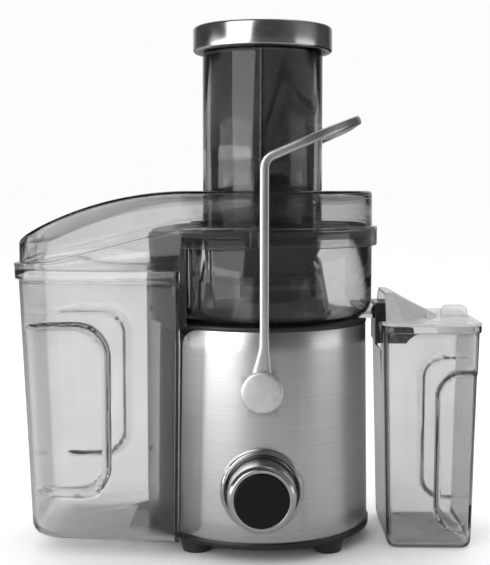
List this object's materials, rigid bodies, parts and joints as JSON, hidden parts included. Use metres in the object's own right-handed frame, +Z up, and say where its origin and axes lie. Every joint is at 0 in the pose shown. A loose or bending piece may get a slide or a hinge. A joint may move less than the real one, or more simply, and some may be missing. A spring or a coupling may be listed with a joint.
{
  "type": "centrifugal juicer",
  "caption": "Upright juicer with a steel motor base, clear bowl, cover and feed chute, pusher, locking arm, pulp container and lidded juice jug.",
  "frame": {"origin": "middle of the object's box, on the worktop under the rubber feet", "axes": "+Z up along the motor axis, -Y towards the control knob, +X towards the juice jug"},
  "size_m": [0.3388, 0.204, 0.383],
  "materials": {
    "brushed_steel": "vertical brushed, satin",
    "polished_steel": "polished",
    "arm_steel": "satin",
    "filter_mesh": "etched mesh",
    "black_plastic": "fine texture",
    "dark_smoke": "dark, gloss",
    "gloss_black": "high gloss",
    "smoke_clear": "clear smoke plastic",
    "jug_clear": "clear smoke plastic",
    "soft_black": "matt",
    "motor_steel": "laminated",
    "zinc": "satin",
    "copper": "enamelled wire",
    "brass": "plain",
    "carbon": "matt",
    "white_plastic": "plain",
    "electronics": "board"
  },
  "bodies": {
    "base": {"bottom_cover": "black_plastic", "base_housing": "black_plastic", "steel_wrap": "brushed_steel", "motor_deck": "black_plastic", "rubber_feet": "soft_black", "cover_screws": "zinc", "dial_bezel": "polished_steel", "rotary_switch": "white_plastic", "upper_bracket": "zinc", "lower_bracket": "zinc", "stator_core": "motor_steel", "field_coils": "copper", "brush_holders": "brass", "carbon_brushes": "carbon", "upper_bearing": "zinc", "lower_bearing": "zinc", "motor_mounts": "soft_black", "bracket_screws": "zinc", "shaft_seal": "soft_black", "control_board": "electronics", "microswitch": "electronics", "plunger_guide": "black_plastic", "cord_gland": "soft_black", "pivot_bushes": "black_plastic", "juice_bowl": "smoke_clear", "bowl_collar": "smoke_clear", "outlet_tube": "smoke_clear", "juice_spout": "dark_smoke", "pulp_deck": "dark_smoke", "pulp_shield": "dark_smoke", "top_cover": "smoke_clear", "feed_chute": "smoke_clear", "cover_gasket": "soft_black"},
    "rotor": {"rotor_shaft": "zinc", "armature_core": "motor_steel", "armature_windings": "copper", "commutator": "copper", "cooling_fan": "white_plastic", "drive_coupling": "black_plastic", "basket_hub": "black_plastic", "grater_disc": "polished_steel", "filter_cone": "filter_mesh", "basket_rim": "black_plastic"},
    "pusher": {"pusher_body": "gloss_black", "pusher_cap": "polished_steel"},
    "arm": {"locking_arm": "arm_steel", "arm_caps": "arm_steel", "arm_pins": "arm_steel", "interlock_cam": "white_plastic"},
    "plunger": {"interlock_plunger": "white_plastic", "interlock_spring": "zinc"},
    "knob": {"control_knob": "polished_steel", "knob_face": "gloss_black", "knob_spindle": "zinc"},
    "pulp_bin": {"pulp_container": "smoke_clear"},
    "jug": {"juice_jug": "jug_clear"},
    "jug_cover": {"jug_lid": "jug_clear"}
  },
  "joints": [
    {"name": "rotor_spin", "type": "hinge", "parent": "base", "child": "rotor", "pos_m": [0.0106, 0.006, 0.12], "axis": [0, 0, 1], "continuous": true},
    {"name": "pusher_lift", "type": "slide", "parent": "base", "child": "pusher", "axis": [0, 0, 1], "range_m": [0, 0.15]},
    {"name": "arm_swing", "type": "hinge", "parent": "base", "child": "arm", "pos_m": [0.0106, 0.006, 0.1245], "axis": [0, 1, 0], "range_deg": [0, 95]},
    {"name": "interlock_travel", "type": "slide", "parent": "base", "child": "plunger", "axis": [0, 0, -1], "range_m": [0, 0.0034], "deforming": ["interlock_spring"]},
    {"name": "knob_turn", "type": "hinge", "parent": "base", "child": "knob", "pos_m": [0.0106, -0.0775, 0.053], "axis": [0, 1, 0], "range_deg": [-40, 80]},
    {"name": "pulp_slide", "type": "slide", "parent": "base", "child": "pulp_bin", "axis": [-1, 0, 0], "range_m": [0, 0.1]},
    {"name": "jug_slide", "type": "slide", "parent": "base", "child": "jug", "axis": [1, 0, 0], "range_m": [0, 0.12]},
    {"name": "jug_lid_lift", "type": "slide", "parent": "jug", "child": "jug_cover", "axis": [0, 0, 1], "range_m": [0, 0.06]}
  ],
  "couplings": [
    {"joint": "interlock_travel", "follows": "arm_swing", "m_per_rad": 0.0019099}
  ]
}
